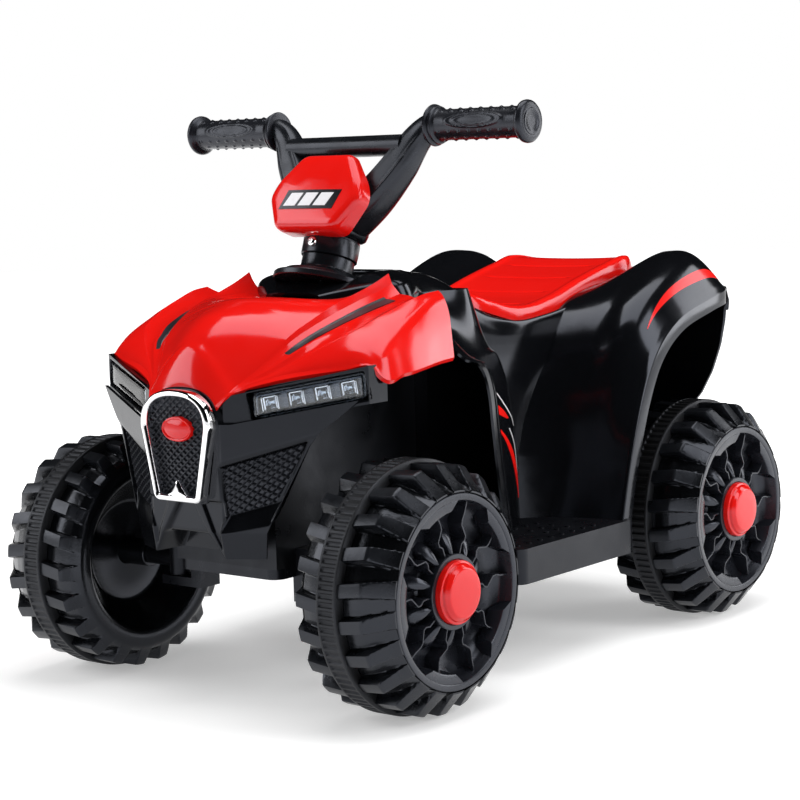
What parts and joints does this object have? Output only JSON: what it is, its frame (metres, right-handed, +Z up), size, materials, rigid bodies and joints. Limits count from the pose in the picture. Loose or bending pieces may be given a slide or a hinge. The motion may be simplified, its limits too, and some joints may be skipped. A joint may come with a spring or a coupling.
{
  "type": "kids quad bike",
  "caption": "Battery-driven ride-on quad bike for a small child with steering handlebar, lugged wheels, moulded hood, fenders, footboards and a geared rear wheel drive.",
  "frame": {"origin": "on the floor midway between the four wheels, at the bottom centre of the bounding box", "axes": "+Z up, front faces -Y, +X to the rider's left, +Y along the vehicle towards the tail"},
  "size_m": [0.456, 0.662, 0.4984],
  "materials": {
    "black_plastic": "satin black moulded plastic",
    "red_plastic": "glossy red moulded plastic",
    "wheel_plastic": "black blow-moulded plastic",
    "rim_plastic": "black moulded plastic",
    "band_rubber": "ribbed black rubber",
    "grip_plastic": "soft black grip",
    "chrome_trim": "plated plastic",
    "lamp_chrome": "plated plastic",
    "lens_clear": "clear plastic lens",
    "lamp_clear": "clear lamp",
    "grey_plastic": "dark grey moulded plastic",
    "steel": "zinc plated steel",
    "white_plastic": "natural nylon",
    "battery_case": "battery case",
    "motor_steel": "plated motor can",
    "pedal_plastic": "dark grey pedal"
  },
  "bodies": {
    "chassis": {"chassis_pan": "black_plastic", "body_shell": "black_plastic", "front_fascia": "black_plastic", "front_frame": "black_plastic", "column_bracket": "black_plastic", "column_shroud": "black_plastic", "hood": "red_plastic", "hood_vents": "grey_plastic", "headlight_lenses": "lens_clear", "headlight_housings": "lamp_chrome", "headlight_lamps": "lamp_clear", "grille_surround": "chrome_trim", "grille_mesh": "black_plastic", "grille_emblem": "red_plastic", "bumper_meshes": "grey_plastic", "seat": "red_plastic", "rear_axle": "steel", "axle_retainers_rear": "steel", "kingpins": "steel", "stem_bushes": "white_plastic", "motor": "motor_steel", "gearbox_case_inner": "black_plastic", "gearbox_case_outer": "black_plastic", "battery": "battery_case", "switch_bezel": "black_plastic", "charging_socket": "grey_plastic"},
    "steering": {"steering_stem": "steel", "stem_collar": "black_plastic", "stem_bolt": "steel", "handlebar": "black_plastic", "handlebar_cover": "red_plastic", "grip_left": "grip_plastic", "grip_right": "grip_plastic"},
    "knuckle_left": {"steering_knuckle_left": "steel", "axle_retainer_front_left": "steel"},
    "knuckle_right": {"steering_knuckle_right": "steel", "axle_retainer_front_right": "steel"},
    "tie_link": {"tie_rod": "steel"},
    "motor_rotor": {"motor_pinion": "steel"},
    "first_reduction": {"first_gear": "white_plastic"},
    "second_reduction": {"second_gear": "white_plastic"},
    "pedal": {"accelerator_pedal": "pedal_plastic"},
    "rocker": {"direction_rocker": "red_plastic"},
    "wheel_front_left_spin": {"wheel_front_left": "wheel_plastic", "traction_band_front_left": "band_rubber", "rim_insert_front_left": "rim_plastic", "hub_cap_front_left": "red_plastic"},
    "wheel_front_right_spin": {"wheel_front_right": "wheel_plastic", "traction_band_front_right": "band_rubber", "rim_insert_front_right": "rim_plastic", "hub_cap_front_right": "red_plastic"},
    "wheel_rear_left_spin": {"wheel_rear_left": "wheel_plastic", "traction_band_rear_left": "band_rubber", "rim_insert_rear_left": "rim_plastic", "hub_cap_rear_left": "red_plastic"},
    "wheel_rear_right_spin": {"wheel_rear_right": "wheel_plastic", "traction_band_rear_right": "band_rubber", "rim_insert_rear_right": "rim_plastic", "hub_cap_rear_right": "red_plastic", "output_gear": "white_plastic"}
  },
  "joints": [
    {"name": "steering", "type": "hinge", "parent": "chassis", "child": "steering", "pos_m": [0, -0.1185, 0.353], "axis": [0, 0.342, 0.9397], "range_deg": [-30, 30]},
    {"name": "knuckle_left_turn", "type": "hinge", "parent": "chassis", "child": "knuckle_left", "pos_m": [0.09, -0.226, 0.105], "axis": [0, 0, 1], "range_deg": [-18, 18]},
    {"name": "knuckle_right_turn", "type": "hinge", "parent": "chassis", "child": "knuckle_right", "pos_m": [-0.09, -0.226, 0.105], "axis": [0, 0, 1], "range_deg": [-18, 18]},
    {"name": "tie_rod_slide", "type": "slide", "parent": "chassis", "child": "tie_link", "axis": [1, 0, 0], "range_m": [-0.0195, 0.0195]},
    {"name": "front_left_spin", "type": "hinge", "parent": "knuckle_left", "child": "wheel_front_left_spin", "pos_m": [0.17, -0.226, 0.105], "axis": [1, 0, 0], "continuous": true},
    {"name": "front_right_spin", "type": "hinge", "parent": "knuckle_right", "child": "wheel_front_right_spin", "pos_m": [-0.17, -0.226, 0.105], "axis": [1, 0, 0], "continuous": true},
    {"name": "rear_left_spin", "type": "hinge", "parent": "chassis", "child": "wheel_rear_left_spin", "pos_m": [0.17, 0.226, 0.105], "axis": [1, 0, 0], "continuous": true},
    {"name": "rear_right_spin", "type": "hinge", "parent": "chassis", "child": "wheel_rear_right_spin", "pos_m": [-0.17, 0.226, 0.105], "axis": [1, 0, 0], "continuous": true},
    {"name": "second_gear_spin", "type": "hinge", "parent": "chassis", "child": "second_reduction", "pos_m": [-0.1, 0.19915, 0.1205], "axis": [1, 0, 0], "continuous": true},
    {"name": "first_gear_spin", "type": "hinge", "parent": "chassis", "child": "first_reduction", "pos_m": [-0.1, 0.17491, 0.1345], "axis": [1, 0, 0], "continuous": true},
    {"name": "motor_spin", "type": "hinge", "parent": "chassis", "child": "motor_rotor", "pos_m": [-0.1, 0.1609, 0.15875], "axis": [1, 0, 0], "continuous": true},
    {"name": "pedal_press", "type": "hinge", "parent": "chassis", "child": "pedal", "pos_m": [-0.138, 0.05, 0.119], "axis": [1, 0, 0], "range_deg": [0, 7], "stiffness_Nm_per_rad": 0.6, "springref_deg": -14.32},
    {"name": "direction_rock", "type": "hinge", "parent": "chassis", "child": "rocker", "pos_m": [0, -0.04, 0.345], "axis": [1, 0, 0], "range_deg": [-9, 9]}
  ],
  "couplings": [
    {"joint": "knuckle_left_turn", "follows": "steering", "ratio": 0.58348},
    {"joint": "knuckle_right_turn", "follows": "steering", "ratio": 0.58348},
    {"joint": "tie_rod_slide", "follows": "steering", "m_per_rad": -0.036765},
    {"joint": "second_gear_spin", "follows": "rear_right_spin", "ratio": -4.1667},
    {"joint": "first_gear_spin", "follows": "rear_right_spin", "ratio": 15.278},
    {"joint": "motor_spin", "follows": "rear_right_spin", "ratio": -56.019}
  ]
}
